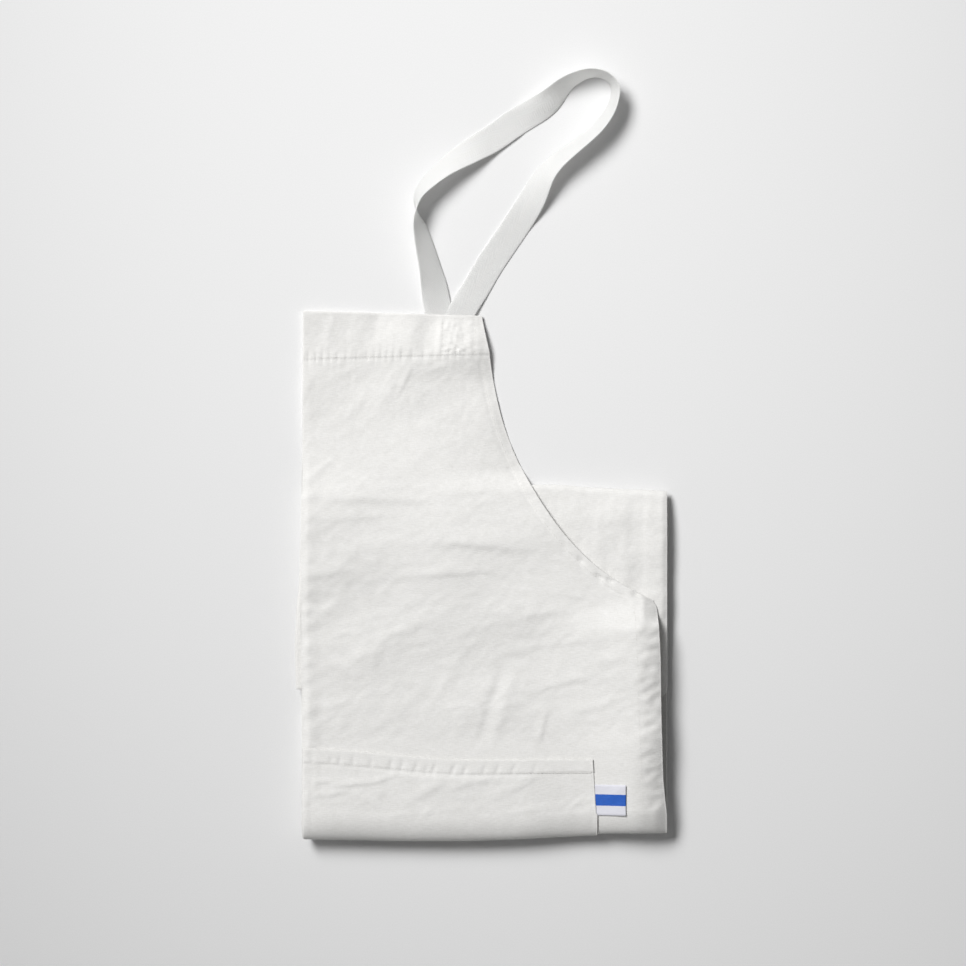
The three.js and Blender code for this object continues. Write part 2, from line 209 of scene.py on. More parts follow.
# The bib's hem, by height over its seam
TOP_HEM_START = 380
TOP_PROUD = (0.25, -0.6, 1.2)
TOP_GROOVE = (-0.2, -0.2, 1.8)
TOP_PUCKERS = (0.1, 0.5, 2.2)
TOP_GATHERS = (0.5, 2, 6.5)
BOX_X = ((120, 128), (150, 156))
BOX_Y = ((0, 4), (34, 40))
BOX_DIMPLES = (0.24, 4.5, 4.5, 22)
BOX_SEAM = (-0.5, 152.5, 1.2)
BOX_SEAM_Y = (0, 3)

# The hems of armhole and side, by distance from their edge
SIDE_HEM_END = (UNDERARM - 4, UNDERARM + 4)
EDGE_HEM_Y = ((2, 12), (BIB_HEM_END - 6, BIB_HEM_END))
ARM_PROUD = (0.3, -1.2, 0.6)
ARM_GROOVE = (-0.4, 0, 1.3)
ARM_GATHERS = (0.5, 0, 4.5)
ARM_GATHERS_AT = 0.75  # of the hem's width
ARM_LEVEL = 0.6
ARM_GATHERS_Y = ((205, 212), (250, 300))
SIDE_GATHERS = (0.45, 13, 10)
SIDE_SLANT = 0.25
SIDE_ROUGH = (0.28, 8, 6, 33)
SIDE_ROUGH_END = (14, 26)

# The skirt's turned-back part
BACK_EASE = (-1.1, 298, 9)
BACK_EASE_Y = ((190, 230), (296, 308))
BACK_PROUD = (0.25, 302, 306)
BACK_MOTTLE = (0.11, 6, 7, 41)
BACK_WAVES = (0.36, 26, 22, 42)
BACK_GATHERS = (0.25, 300, 318)
BACK_ROLL = -1.6
BACK_ROLL_X = (317, 324)
BACK_SHOWN_X = (190, 215)


def smooth(value, low, high):
    """Smoothstep: nothing below low, 1 above high, and 3t^2 - 2t^3 between."""
    t = np.clip((value - low) / (high - low), 0, 1)
    return t * t * (3 - 2 * t)


def lerp(a, b, t):
    """Straight mix of a and b: a at t = 0 and b at t = 1."""
    return a + (b - a) * t


def rise(value, row):
    """A smooth step up, from a row of its height, start and end."""
    return row[0] * smooth(value, *row[1:])


def fade(value, row):
    """A smooth step down to nothing, from a row of its height, start and end."""
    return row[0] * (1 - smooth(value, *row[1:]))


def band(value, up, down):
    """1 between two smooth steps, up and down again."""
    return smooth(value, *up) * (1 - smooth(value, *down))


def read(table, at):
    """Linear reading of a table of two columns, whose first column rises."""
    return np.interp(at, table[:, 0], table[:, 1])


def bell(value, row):
    """A Gauss bell from a row of its height, middle and width."""
    high, middle, wide = row
    return high * np.exp(-(((value - middle) / wide) ** 2))


def waves(x, y, wide, tall, seed, count=36):
    """A sum of cosines with random directions and phases, about wide by tall between crests, of size 1."""
    draw = np.random.default_rng(seed)
    kx = draw.normal(0, WAVE_RATE / wide, count)
    ky = draw.normal(0, WAVE_RATE / tall, count)
    phase = draw.uniform(0, 2 * np.pi, count)
    total = np.zeros(np.broadcast(x, y).shape)
    for a, b, c in zip(kx, ky, phase):
        total += np.cos(a * x + b * y + c)
    return total * np.sqrt(2 / count)


def waver(along, long, seed, count=36):
    """Waves along one line alone."""
    return waves(along, 0 * along, long, ENDLESS, seed, count)


def wavy(x, y, row):
    """Waves from a row of their height, sizes and seed."""
    high, wide, tall, seed = row
    return high * waves(x, y, wide, tall, seed)


def armhole_table():
    """The armhole's edge, a cubic Bezier curve, as a table of y and x."""
    t = np.linspace(0, 1, 160)[:, None]
    a, b, c, d = ARMHOLE
    line = (1 - t) ** 3 * a + 3 * (1 - t) ** 2 * t * b + 3 * (1 - t) * t * t * c + t ** 3 * d
    return line[::-1, ::-1].copy()


ARMHOLE_EDGE = armhole_table()


def front_right(y):
    """The front's free edge: bib, then armhole, then side, with the underarm's corner rounded by a bell."""
    bib = lerp(BIB_HEM_HALF, BIB_HALF, (y - BIB_HEM_END) / (BIB_TOP - BIB_HEM_END))
    below = np.where(y > UNDERARM, read(ARMHOLE_EDGE, y), read(SIDE_EDGE, y))
    return np.where(y >= BIB_HEM_END, bib, below - bell(y, UNDERARM_ROUND))


def front_slope(y):
    """How fast the free edge moves out for each millimetre down the front."""
    return (front_right(y - 0.5) - front_right(y + 0.5)).clip(0, STEEPEST_EDGE)


def from_edge(x, s):
    """Distance from the front's free edge: the way in along a row, over the slope's length."""
    return (front_right(s) - x) / np.hypot(1, front_slope(s))


def front_skew(y):
    """Rise of the bib's rows over the skirt's half width."""
    hem = lerp(HEM_LINE_RISE, TOP_EDGE_FALL, (y - BIB_HEM_END) / (BIB_TOP - BIB_HEM_END))
    bib = HEM_LINE_RISE * smooth(y, HEM_SKEW_START, BIB_HEM_END)
    return np.where(y >= BIB_HEM_END, hem, bib)


def bottom_line(x):
    """The bottom fold's edge: it sags a little, then rises towards the side hems."""
    return rise(x, BOTTOM_FOLD_RISE) - rise(x, BOTTOM_FOLD_SAG)


def row_shift(x, s):
    """How far a row of the front that starts at s has moved up at x."""
    low = bottom_line(x) * (1 - smooth(s, *BOTTOM_FOLD_SKEW))
    return front_skew(s) * x / SKIRT_HALF + low


def front_base(y):
    """Height of the front's underside over the table."""
    stack = lerp(FRONT_ON_POCKET, FRONT_BASE, smooth(y, *OFF_POCKET))
    return stack * (1 - smooth(y, *RAMP))


def front_half(x, y):
    """Half the thickness of the front's doubled layer.

    It grows where the layers part for the ends of the neck tape, and shrinks by a bell at the bib's edge."""
    room = rise(y, TAPE_ROOM) * band(x, *TAPE_ROOM_X)
    thin = smooth(y, *EDGE_THIN_Y) * bell(front_right(y) - x, EDGE_THIN)
    return HALF + room - thin


def raised(points, below=0.0):
    """Lifts the stack off the table towards its right side, its bottom fold and the end of the bib's hem.

    below is 1 for the layers under the front, which have a share of the lift of their own and are
    pressed together at the edge and at the top fold."""
    x, y = points[..., 0], points[..., 1]
    under = below * (1 - smooth(y, *UNDER_FRONT_END))
    share = lerp(*FRONT_SHARE, smooth(y, *FRONT_SHARE_Y))
    side = rise(x, EDGE_LIFT) * (1 - smooth(y, *EDGE_LIFT_END))
    side = side * lerp(share, 1, below) * (1 - under * (1 - UNDER_FRONT))
    press = (1 - under * rise(x, STRIP_PRESS)) * (1 - below * rise(y, TOP_PRESS))
    bottom = fade(y, BOTTOM_LIFT) * (1 - smooth(x, *BOTTOM_LIFT_END))
    out = np.clip(x / BIB_HEM_HALF, 0, 1) ** HEM_END_POWER * (x < HEM_END_LIMIT)
    hem_end = rise(y, HEM_END_LIFT) * (1 - rise(y, HEM_TOP_LOSS)) * out
    lifted = points.copy()
    lifted[..., 2] = (points[..., 2] + side) * press + bottom + hem_end
    return lifted


# Soft creases of the front: ridges stand up and valleys sink.
# Columns: x, y, turn from +X in degrees, long, wide, high, lean (+ is steeper on the far side)
CREASES = [
    # top hem
    [66, 458, 86, 52, 30, -1.5, -0.4],
    [54, 434, 84, 34, 12, -0.5, -0.4],
    [111, 449, 76, 60, 28, -2.0, -0.4],
    [122, 448, 86, 44, 7, 0.8, 0.0],
    [143, 450, 88, 44, 16, -0.8, 0.2],
    [24, 452, 75, 40, 10, 0.5, 0.0],
    # bib
    [91, 408, 64, 44, 9, 0.55, 0.5],
    [75, 398, 58, 70, 26, 0.8, 0.3],
    [18, 331, 38, 42, 7, 0.5, 0.0],
    [118, 418, 20, 34, 8, 0.35, 0.0],
    [36, 414, 24, 54, 9, 0.3, 0.0],
    [40, 380, 40, 80, 16, 0.35, 0.0],
    [120, 372, 30, 80, 18, 0.3, 0.0],
    # puckers at the foot of the armhole
    [247, 246.5, -38, 11, 6, -1.2, 0.0],
    [263.4, 232.3, -32, 11, 5, -1.5, 0.0],
    [273, 228.7, -30, 9, 6, -2.0, 0.0],
    [296.4, 217.2, 60, 11, 6, -2.4, 0.0],
    # over the ramp
    [62, 303, -2, 150, 22, 1.1, 0.6],
    [140, 308, 5, 70, 16, 0.6, 0.5],
    [52, 286, 6, 90, 12, 0.5, 0.3],
    # skirt
    [158, 262, -4, 130, 24, 1.5, 0.7],
    [128, 236, 4, 110, 14, 0.9, 0.6],
    [60, 258, 8, 90, 20, 0.5, 0.3],
    [22, 236, 12, 64, 18, 0.9, 0.6],
    [22, 203, 36, 56, 16, 0.9, -0.4],
    [55, 162, 33, 110, 30, 1.1, -0.4],
    [100, 190, 24, 90, 16, 0.6, 0.3],
    [18, 150, 20, 46, 14, 0.5, 0.3],
    [30, 120, 8, 80, 16, 0.4, 0.3],
    [90, 120, 40, 90, 18, 0.4, 0.0],
    [128, 140, 55, 90, 16, 0.5, 0.3],
    [167, 117, 73, 110, 15, -0.8, -0.5],
    [176, 112, 73, 110, 18, 0.8, 0.0],
    [212, 97, 76, 60, 10, 0.7, 0.5],
    [232, 140, 16, 90, 14, 0.5, 0.4],
    [260, 118, 14, 70, 12, 0.45, 0.3],
    [240, 176, 8, 100, 12, 0.5, 0.4],
    [275, 160, 12, 70, 12, 0.4, 0.3],
    [205, 200, 10, 90, 14, 0.5, 0.3],
    [250, 214, -10, 80, 12, 0.45, 0.3],
    [180, 165, 14, 80, 16, 0.4, 0.2],
]


def creased(x, y, rows):
    """Sum of ridges: a quartic bump along each crease times a bell across it, leaning to one side."""
    total = np.zeros(np.broadcast(x, y).shape)
    for cx, cy, turn, long, wide, high, lean in rows:
        c, s = np.cos(np.radians(turn)), np.sin(np.radians(turn))
        along = ((x - cx) * c + (y - cy) * s) / (long / 2)
        aside = ((y - cy) * c - (x - cx) * s) / (wide / 2)
        aside = aside * np.where(aside < 0, 1 + lean, 1 - lean * 0.5)
        total += high * (1 - np.clip(along, -1, 1) ** 2) ** 2 * np.exp(-2 * aside * aside)
    return total


def crumple(x, y):
    """Washed linen's soft waves, lumps along a diagonal that is steeper on the bib, and small ripples.

    A ripple is a mean height less the size of a wave, and is higher in patches."""
    c, s = LUMP_WAY
    bent = wavy(x, y, BENT_WAVES)
    skirt = wavy(c * x + s * y + bent, c * y - s * x - bent, SKIRT_LUMPS)
    bib = wavy(s * x + c * y + bent, s * y - c * x - bent, BIB_LUMPS)
    lumps = LUMP_HIGH * lerp(skirt, bib, smooth(y, *BIB_LUMPS_Y))
    ripples = RIPPLE_HIGH * (RIPPLE_MEAN - np.abs(wavy(x, y + RIPPLE_SLANT * x, RIPPLES)))
    return wavy(x, y, BROAD_WAVES) + lumps + wavy(x, y, SOFT_WAVES) + ripples * (1 + wavy(x, y, PATCHES))


def ticks(along, step, seed, sharp):
    """Uneven gathers along a seam: a wave whose steps wander, from 0 to 1 with narrow hollows."""
    wander = waver(along, step * TICK_WANDER_LONG, seed, TICK_WAVES)
    wave = 0.5 + 0.5 * np.cos(2 * np.pi * along / step + TICK_WANDER * wander)
    return 1 - wave ** sharp


def top_hem(x, s):
    """The bib's hem: a little proud, with a groove and gathers along its seam, and the tape's sewn box."""
    t = s - BIB_HEM_END
    puckers = bell(t, TOP_PUCKERS) * np.cos(2 * np.pi * x / STITCH_STEP)
    gather = bell(t, TOP_GATHERS) * (ticks(x, *TOP_TICKS) - 0.5)
    dimples = wavy(x, s, BOX_DIMPLES) * band(x, *BOX_X) * band(t, *BOX_Y)
    seam = bell(x, BOX_SEAM) * smooth(t, *BOX_SEAM_Y)
    return rise(t, TOP_PROUD) + bell(t, TOP_GROOVE) + puckers + gather + dimples + seam


def edge_hem(x, s):
    """The hems of armhole and side, by distance from the free edge.

    The armhole's is proud, grooved at its seam and gathered low down, the side's gathered and rough."""
    off = from_edge(x, s)
    side = 1 - smooth(s, *SIDE_HEM_END)
    wide = lerp(ARMHOLE_HEM, SIDE_HEM, side)
    arm = (1 - side) * (fade(off - wide, ARM_PROUD) + bell(off - wide, ARM_GROOVE))
    arm_gather = bell(off - wide * ARM_GATHERS_AT, ARM_GATHERS) * band(s, *ARM_GATHERS_Y)
    arm_gather = arm_gather * (ticks(x, *ARM_TICKS) - ARM_LEVEL)
    side_gather = bell(off, SIDE_GATHERS) * (ticks(s + SIDE_SLANT * off, *SIDE_TICKS) - 0.5)
    rough = wavy(x, s, SIDE_ROUGH) * (1 - smooth(off, *SIDE_ROUGH_END))
    return arm + arm_gather + side * (side_gather + rough)


def fold_line(x, y, left):
    """The face rolls down to the centre fold, with a low ridge beside it that comes and goes.

    On the bib the roll fades out and the ridge is lower."""
    high, varies, long, seed = FOLD_RIDGE
    in_from_fold = x - left
    flat = smooth(y, *FOLD_FLAT_Y)
    ridge = np.clip(high + varies * waver(y, long, seed), 0, FOLD_RIDGE_MOST)
    ridge = ridge * band(in_from_fold, *FOLD_RIDGE_X) * (1 - smooth(y, *FOLD_RIDGE_END))
    return (1 - FLAT_RIDGE_LOSS * flat) * ridge - (1 - flat) * fade(in_from_fold, FOLD_ROLL)


def bottom_puff(x, s):
    """How far the pocket and the front bulge over the bottom fold, fading up the front and to the right."""
    return fade(s, BOTTOM_PUFF) * (1 - smooth(x, *BOTTOM_PUFF_END))


def front_drop(x, y, s):
    """How far the front hangs down at its free edge, less its bulge over the bottom fold.

    Bells carry it down to the table and on to the back. The side hem falls as a power of the way
    to the edge, and the underarm's corner in a straight slope."""
    off = from_edge(x, s)
    table = front_base(y) * band(s, *TABLE_DROP_Y) * bell(off, TABLE_DROP)
    back = band(s, *LAP_DROP_Y) * bell(off, LAP_DROP)
    high = smooth(s, *SIDE_DROP_CHANGE)
    in_from_edge = np.clip(1 - off / lerp(*SIDE_DROP_WIDE, high), 0, 1)
    side = lerp(*SIDE_DROP, high) * (1 - smooth(s, *SIDE_DROP_END)) * in_from_edge ** SIDE_DROP_POWER
    to_corner = np.clip((x - CORNER_START) / CORNER_RUN, 0, 1)
    return table + back + side + rise(s, CORNER_DROP) * to_corner - bottom_puff(x, s)


def front_relief(x, y, s):
    """How far the front's upper layer stands up: creases, crumples, hems and the fold's line."""
    start, end = EDGE_HEM_Y
    cloth = (CREASE_HIGH * creased(x, y, CREASES) + crumple(x, y)) * smooth(y, *WRINKLES_START)
    edge = edge_hem(x, s) * smooth(y, *start) * (1 - smooth(s, *end))
    hems = top_hem(x, s) * (s > TOP_HEM_START) + edge
    return cloth + hems + fold_line(x, y, read(FRONT_FOLD, s))


def front_top(x, y, s):
    """Height of the front's face."""
    thick = 2 * front_half(x, y)
    return front_base(y) + thick + np.maximum(front_relief(x, y, s), WALL - thick) - front_drop(x, y, s)


FRONT, BOTTOM_BEND, BACK, BACK_BEND, TUCKED = range(5)

# Rows and columns of the cloth's grids. Columns come in pairs: over the face and below
FRONT_ROWS = 248
HEM_ROWS = np.linspace(420, 434, 14)
BEND_ROWS = 19
LOW_BACK_ROWS = 9
BACK_FLAT = POCKET_END + 20
HIGH_BACK_ROWS = [180, 240, 290]
TUCKED_ROWS = 92
FOLD_COLUMNS = 15
PANEL_COLUMNS = (168, 22)
HEM_INSIDE = np.array([20.0, 9.0, 3.0])
HEM_PLACES = np.array([0.6, 1.6, 2.8, 4.2, 5.8, 7.5, 9.2, 11, 13, 15, 17, 19, 20.5, 21.5, 22.5, 24])
POCKET_ROWS = 46
POCKET_RETURN = [0.3, 0.12]
POCKET_BEND_ROWS = 23
POCKET_BACK_ROWS = 14
POCKET_COLUMNS = (150, 18)


def rows_of(kind, values, off=0.0, beyond=0.0):
    """Rows of one stretch of the panel.

    Columns: stretch, height or angle, depth under the face, and y beyond it."""
    values = np.atleast_1d(np.asarray(values, float))
    columns = [np.full(values.shape, kind), values, off + 0 * values, beyond + 0 * values]
    return np.stack(columns, axis=1)


def edge_rows(kind, at, towards):
    """A hem's edge, a half circle of the wall, and the return inside it."""
    round_it = rows_of(kind, at + 0 * HALF_TURN, EDGE_DEPTH, towards * HEM_TURN * np.cos(HALF_TURN))
    inside = rows_of(kind, at - towards * HEM_RETURN, -WALL)
    return np.concatenate([inside, round_it])


def panel_rows():
    """All rows of the panel: down the front, round the bottom fold, up the back, round and in again."""
    front = np.r_[np.linspace(BEND_START, BIB_TOP, FRONT_ROWS), HEM_ROWS]
    turn = np.linspace(0, np.pi, BEND_ROWS)
    back = np.r_[np.linspace(BEND_START, BACK_FLAT, LOW_BACK_ROWS), HIGH_BACK_ROWS]
    tucked = np.linspace(BACK_FOLD - HALF - TUCKED_RADIUS, SKIRT_HEM_END, TUCKED_ROWS)
    return np.concatenate([
        edge_rows(FRONT, BIB_TOP, 1),
        rows_of(FRONT, np.unique(front)[-2::-1]),
        rows_of(BOTTOM_BEND, turn[1:-1]),
        rows_of(BACK, back),
        rows_of(BACK_BEND, turn[1:-1:2]),
        rows_of(TUCKED, tucked[:-1]),
        edge_rows(TUCKED, SKIRT_HEM_END, -1)[::-1],
    ])


def back_relief(x, y):
    """Soft waves in the skirt's turned-back part, the ease before its side hem, and the hem's roll."""
    ease = bell(x, BACK_EASE) * band(y, *BACK_EASE_Y)
    mottled = wavy(x, y, BACK_MOTTLE) + wavy(x, y, BACK_WAVES)
    edge = rise(x, BACK_GATHERS) * (ticks(y, *BACK_TICKS) - 0.5)
    roll = BACK_ROLL * smooth(x, *BACK_ROLL_X) ** 2
    return ease + rise(x, BACK_PROUD) + mottled + edge + roll


def fold_tilt(x):
    """The back's top fold is not quite level: it falls towards the side hems, and wavers."""
    size, long, seed = TOP_WAVER
    share = np.clip((x - TOP_TILT_START) / TOP_TILT_RUN, 0, 1)
    return lerp(*TOP_TILT, share) + size * waver(x, long, seed)


def pair_at(kind, s, x):
    """The doubled layer in each row at x: its middle, the way its face looks, half thickness and relief.

    The bends are half ellipses, and the relief fades out round them with the cosine of the turn."""
    y, z, ny, proud = np.zeros((4, *x.shape))
    nz = np.ones(x.shape)
    half = np.full(x.shape, HALF)

    on = kind == FRONT
    y[on] = s[on] + row_shift(x[on], s[on])
    half[on] = front_half(x[on], y[on])
    z[on] = front_base(y[on]) + half[on] - front_drop(x[on], y[on], s[on])
    proud[on] = np.maximum(front_relief(x[on], y[on], s[on]), WALL - 2 * half[on])

    on = kind == BOTTOM_BEND
    sine, cosine = np.sin(s[on]), np.cos(s[on])
    deep = BEND_START - BEND_TIP
    high = (FRONT_ON_POCKET - POCKET_ROOM) / 2
    level = BEND_START - deep * sine
    start = np.full(level.shape, BEND_START)
    fall = front_drop(x[on], start, start) * (0.5 + 0.5 * cosine)
    length = np.hypot(sine / deep, cosine / high)
    y[on] = level + row_shift(x[on], level)
    z[on] = POCKET_ROOM + high + HALF + high * cosine - fall
    ny[on] = -sine / deep / length
    nz[on] = cosine / high / length
    proud[on] = front_relief(x[on], start, start) * np.clip(cosine, 0, 1) ** 2

    on = kind == BACK
    y[on] = s[on] + row_shift(x[on], s[on]) + fold_tilt(x[on]) * smooth(s[on], *TOP_TILT_Y)
    z[on] = fade(y[on], (POCKET_ROOM, *OFF_POCKET)) + HALF
    nz[on] = -1

    on = kind == BACK_BEND
    sine, cosine = np.sin(s[on]), np.cos(s[on])
    top = BACK_FOLD - TUCKED_RADIUS - HALF
    y[on] = top + TUCKED_RADIUS * sine + fold_tilt(x[on])
    z[on] = TUCKED_RADIUS + HALF - TUCKED_RADIUS * cosine
    ny[on] = sine
    nz[on] = -cosine
    proud[on] = back_relief(x[on], 0 * x[on] + top) * np.clip(-cosine, 0, 1)

    on = kind == TUCKED
    hem_tilt = lerp(*TUCK_TILT, x[on] / SKIRT_HALF) * (1 - smooth(s[on], *TUCK_TILT_END))
    y[on] = s[on] + fold_tilt(x[on]) * smooth(s[on], *TOP_TILT_Y) + hem_tilt
    z[on] = TUCKED_BASE + HALF
    proud[on] = back_relief(x[on], y[on]) * smooth(x[on], *BACK_SHOWN_X)
    return y, z, ny, nz, half, proud


def row_edges(rows):
    """The centre fold and the free edge of each row, with a round corner at the tucked hem."""
    kind, s = rows[:, 0], rows[:, 1]
    into = np.clip(HEM_CORNER - (s - SKIRT_HEM_END), 0, HEM_CORNER)
    corner = (HEM_CORNER - np.sqrt(HEM_CORNER ** 2 - into ** 2)) * (kind == TUCKED)
    tucked_left = np.where(kind == TUCKED, read(TUCKED_FOLD, s), 0.0)
    left = np.where(kind == FRONT, read(FRONT_FOLD, s), tucked_left)
    size, long, seed, count = FRAY
    front = front_right(s) + size * waver(s, long, seed, count) - FRONT_INSET
    right = np.where(kind == FRONT, front, SKIRT_HALF - BACK_INSET - corner)
    bend_start = front_right(BEND_START + 0 * s) - FRONT_INSET
    bend = lerp(bend_start, SKIRT_HALF - BACK_INSET, s / np.pi)
    return left, np.where(kind == BOTTOM_BEND, bend, right)


def pair_columns(left, right, fine, coarse, reach):
    """Columns of a doubled layer: inside the hem, round its edge, over the face, round the fold, back below.

    Gives x, the sine that carries a point from the lower to the upper layer, and the depth in it."""
    left = left[:, None]
    right = right[:, None]
    share = np.linspace(0, 1, fine + 1)[1:]
    share_low = np.linspace(0, 1, coarse + 1)[::-1]
    turn = np.radians(np.linspace(90, -90, FOLD_COLUMNS))[1:-1]
    x_edge = right - WALL / 2 + WALL / 2 * np.cos(HALF_TURN)
    x_face = np.concatenate([right - HEM_PLACES, lerp(right - HEM_PLACES[-1], left + reach, share)], axis=1)
    x_fold = left + reach - reach * np.cos(turn)
    x_low = lerp(right - WALL / 2, left + reach, share_low)
    inner = right - HEM_INSIDE
    parts = [
        (inner, 1, -WALL),
        (x_edge, 1, EDGE_DEPTH),
        (x_face, 1, 0),
        (x_fold, np.sin(turn), 0),
        (x_low, -1, 0),
        (x_edge[:, ::-1], -1, EDGE_DEPTH[::-1]),
        (inner[:, ::-1], -1, -WALL),
    ]
    full = [np.broadcast_arrays(*part) for part in parts]
    return [np.concatenate(columns, axis=1) for columns in zip(*full)]


def along_and_across(points):
    """Flat place of each point of a grid: the way along its row and down its column, in metres."""
    across = np.linalg.norm(np.diff(points, axis=1), axis=2)
    across = np.concatenate([np.zeros((points.shape[0], 1)), np.cumsum(across, axis=1)], axis=1)
    middle = points.shape[1] // 3
    down = np.linalg.norm(np.diff(points[:, middle], axis=0), axis=1)
    down = np.r_[0, np.cumsum(down)][:, None] + 0 * across
    return np.stack([across - across[:, middle:middle + 1], -down], axis=-1) * MM


def surface(name, points, flat, material, closed=False):
    """A smooth object from a grid of points in millimetres, with its flat places as its UV map.

    Its faces join neighbours in the grid's last two directions. closed joins the ends of the last one."""
    index = np.arange(points[..., 0].size).reshape(points.shape[:-1])
    if closed:
        index = np.concatenate([index, index[..., :1]], axis=-1)
    low, high = index[..., :-1, :], index[..., 1:, :]
    faces = np.stack([low[..., :-1], low[..., 1:], high[..., 1:], high[..., :-1]], axis=-1).reshape(-1, 4)
    places = PLACE + points.reshape(-1, 3) * MM
    mesh = bpy.data.meshes.new(name)
    mesh.from_pydata(places.tolist(), [], faces.tolist())
    uv = mesh.uv_layers.new(name="cloth")
    uv.data.foreach_set("uv", flat.reshape(-1, 2)[faces.ravel()].astype(np.float32).ravel())
    mesh.shade_smooth()
    mesh.materials.append(material)
    piece = bpy.data.objects.new(name, mesh)
    bpy.context.scene.collection.objects.link(piece)
    return piece


def under_share(kind, s):
    """0 on the front, 1 on the layers under it, and a straight rise round the bottom fold."""
    return np.select([kind == FRONT, kind == BOTTOM_BEND], [0.0, np.clip(s / np.pi, 0, 1)], 1.0)


def panel(material):
    """The one cut of linen, as a single skin that turns in at its hems."""
    rows = panel_rows()
    left, right = row_edges(rows)
    flat = smooth(rows[:, 1:2], *FOLD_FLAT_Y) * (rows[:, :1] == FRONT)
    x, upper, depth = pair_columns(left, right, *PANEL_COLUMNS, lerp(FOLD_REACH, BIB_FOLD_REACH, flat))
    kind = rows[:, :1] + 0 * x
    s = rows[:, 1:2] + 0 * x
    y, z, ny, nz, half, proud = pair_at(kind, s, x)
    reach = (half + np.maximum(depth + rows[:, 2:3], -WALL)) * upper + proud * np.maximum(upper, 0)
    points = np.stack([x, y + reach * ny + rows[:, 3:4], z + reach * nz], axis=-1)
    lifted = raised(points, under_share(kind, s))
    return surface("apron_panel_cloth", lifted, along_and_across(points), material)


# Pocket creases. Columns as above
POCKET_CREASES = [
    [18, 52, 4, 26, 7, 0.5, 0.4],
    [46, 50, 6, 60, 8, 0.7, 0.5],
    [72, 55, 20, 30, 8, 0.6, 0.4],
    [26, 42, 10, 44, 9, 0.5, 0.4],
    [58, 36, -28, 50, 8, 0.35, 0.2],
    [110, 44, 30, 60, 14, 0.6, 0.3],
    [150, 52, 14, 60, 12, 0.5, 0.3],
    [186, 46, 24, 70, 14, 0.5, 0.2],
    [228, 48, 60, 40, 12, 0.45, 0.3],
    [90, 24, 8, 110, 10, 0.4, 0.4],
    [200, 26, 4, 100, 10, 0.3, 0.3],
]

# Small pleats caught in the pocket's hem. Columns: x, depth
POCKET_TICKS = [
    [9.8, 0.4], [25.8, 0.6], [33.8, 0.9], [45.4, 0.8], [61.4, 0.7], [79.2, 1.0], [89, 0.9], [101.5, 0.9],
    [111.3, 0.6], [117.5, 0.9], [134.4, 1.1], [145.1, 0.9], [162, 0.7], [173.6, 0.8], [187.8, 0.7],
    [206.5, 0.5],
]
PLEAT_WIDE = 1.8
PLEAT_LEAN = 0.3
PLEAT_LEAN_FROM = 6
PLEAT_LEAN_X = (50, 120)

# The pocket's other forms, down from its mouth or its hem
PLEATS = (1, 8.5, 4.5)
POCKET_PROUD = (0.35, -1.5, 0.8)
POCKET_GROOVE = (-0.7, 0, 1.3)
POCKET_GATHERS = (0.25, 4, 4)
POCKET_FOLD_LINE = (-0.4, 8.0, 2.2)
POCKET_SIDE_LINE = (-0.3, 3, 1.2)
POCKET_BODY = (-2, 5)
POCKET_BODY_Y = (4, 20)
POCKET_CREASED = 1.4
POCKET_CRUMPLE = 0.85
CRUMPLE_SHIFT = 400
POCKET_PUFF = 0.35
POCKET_LEAST = -0.2
POCKET_FOLLOWS = 0.3  # of the relief of the front under it


def mouth(x):
    """The pocket's top edge, which rises towards the centre fold."""
    return POCKET_TOP + POCKET_TOP_RISE * (1 - smooth(x, 0, POCKET_TOP_RUN))


def pocket_right(y):
    """The pocket's side seam, a straight line that leans in towards its top."""
    return lerp(POCKET_EDGE_LOW, POCKET_EDGE_TOP, np.clip(y / POCKET_TOP, 0, 1))


def pocket_relief(x, y):
    """The pocket's hem with its slanted gathers, its seam, and its soft creases.

    Bells by the way down from the mouth make the hem's forms. Bells by the way across make the pleats,
    the line near the fold and the side seam."""
    down = mouth(x) - y
    from_hem = down - POCKET_HEM
    lean = x + PLEAT_LEAN * (down - PLEAT_LEAN_FROM) * smooth(x, *PLEAT_LEAN_X)
    gather = np.zeros(np.broadcast(x, y).shape)
    for place, deep in POCKET_TICKS:
        gather -= bell(lean, (deep, place, PLEAT_WIDE))
    gather = gather * bell(down, PLEATS)
    hem = fade(from_hem, POCKET_PROUD)
    cloth = POCKET_CREASED * creased(x, y, POCKET_CREASES)
    cloth = cloth + POCKET_CRUMPLE * crumple(x + CRUMPLE_SHIFT, y)
    body = cloth * smooth(from_hem, *POCKET_BODY) * smooth(y, *POCKET_BODY_Y)
    uneven = bell(from_hem, POCKET_GATHERS) * (ticks(x, *POCKET_UNEVEN) - 0.5)
    lines = bell(x, POCKET_FOLD_LINE) + bell(pocket_right(y) - x, POCKET_SIDE_LINE)
    return gather + bell(from_hem, POCKET_GROOVE) + hem + body + uneven + lines + POCKET_PUFF


